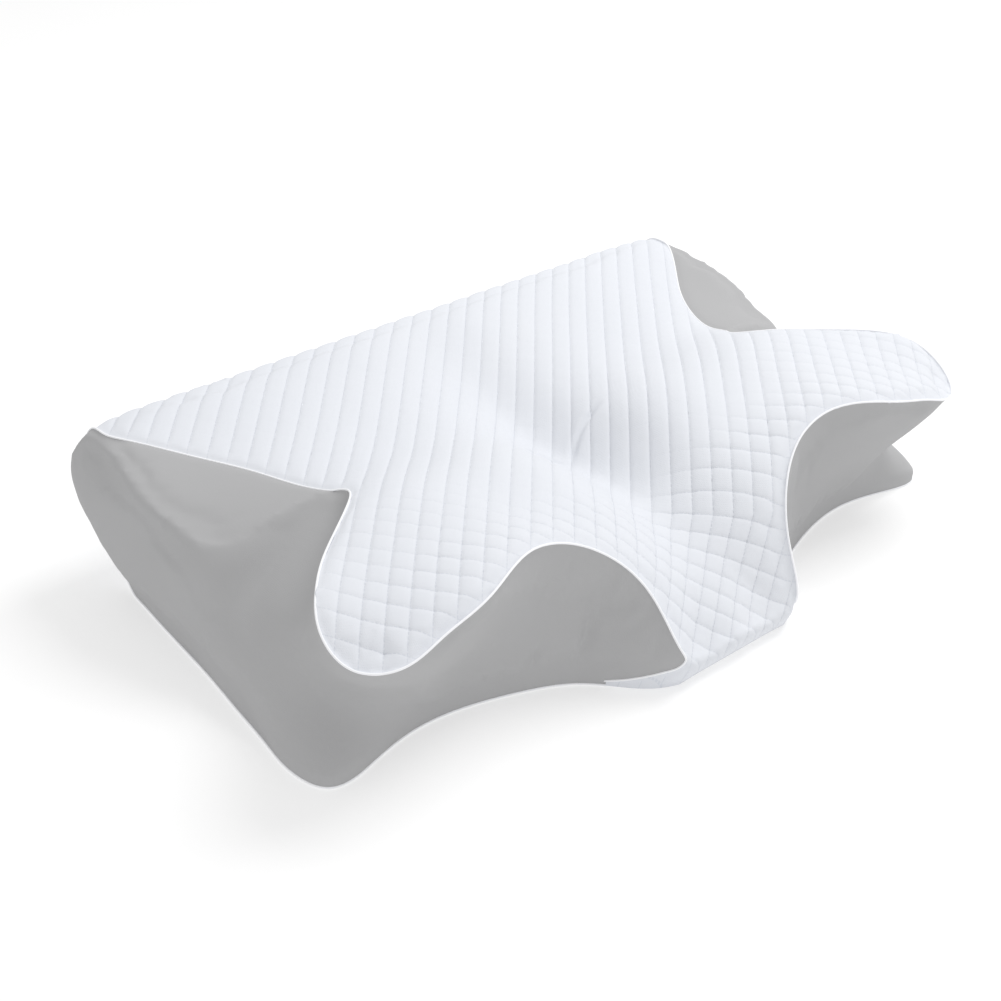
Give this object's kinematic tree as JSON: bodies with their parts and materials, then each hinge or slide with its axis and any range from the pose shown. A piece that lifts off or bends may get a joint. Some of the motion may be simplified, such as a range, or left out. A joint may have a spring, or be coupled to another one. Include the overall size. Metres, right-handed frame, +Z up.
{
  "type": "contoured neck pillow",
  "caption": "Butterfly-shaped memory foam neck pillow with a head hollow, raised neck lobes, arm recesses and a quilted cover with grey sides and a zip.",
  "frame": {"origin": "centre of the footprint, on the floor that the base rests on", "axes": "+Z up, +X to the sleeper's side, +Y from the nose at the front to the high back"},
  "size_m": [0.6475, 0.4255, 0.1419],
  "materials": {
    "quilted_white": "soft white knit, quilted over thin wadding",
    "base_white": "plain white knit",
    "gusset_grey": "smooth mid-grey knit",
    "piping_white": "tight white binding",
    "foam": "open-cell polyurethane memory foam",
    "liner_knit": "thin white stockinette",
    "zip_tape": "woven white tape",
    "zip_coil": "white nylon coil",
    "zip_metal": "white enamelled zinc"
  },
  "bodies": {
    "pillow": {"foam_core": "foam", "inner_liner": "liner_knit", "top_panel": "quilted_white", "bottom_panel": "base_white", "left_gusset": "gusset_grey", "right_gusset": "gusset_grey", "left_upper_piping": "piping_white", "right_upper_piping": "piping_white", "left_lower_piping": "piping_white", "right_lower_piping": "piping_white", "zip_upper_tape": "zip_tape", "zip_lower_tape": "zip_tape", "zip_upper_coil": "zip_coil", "zip_lower_coil": "zip_coil", "zip_top_stops": "zip_metal", "zip_bottom_stop": "zip_metal"},
    "slider": {"zip_slider": "zip_metal"},
    "pull": {"zip_pull": "zip_metal"}
  },
  "joints": [
    {"name": "zip_travel", "type": "slide", "parent": "pillow", "child": "slider", "axis": [-1, 0, 0], "range_m": [0, 0.39]},
    {"name": "pull_swing", "type": "hinge", "parent": "slider", "child": "pull", "pos_m": [0.196, 0.19157, 0.02364], "axis": [0, -0.454, -0.891], "range_deg": [0, 180]}
  ]
}
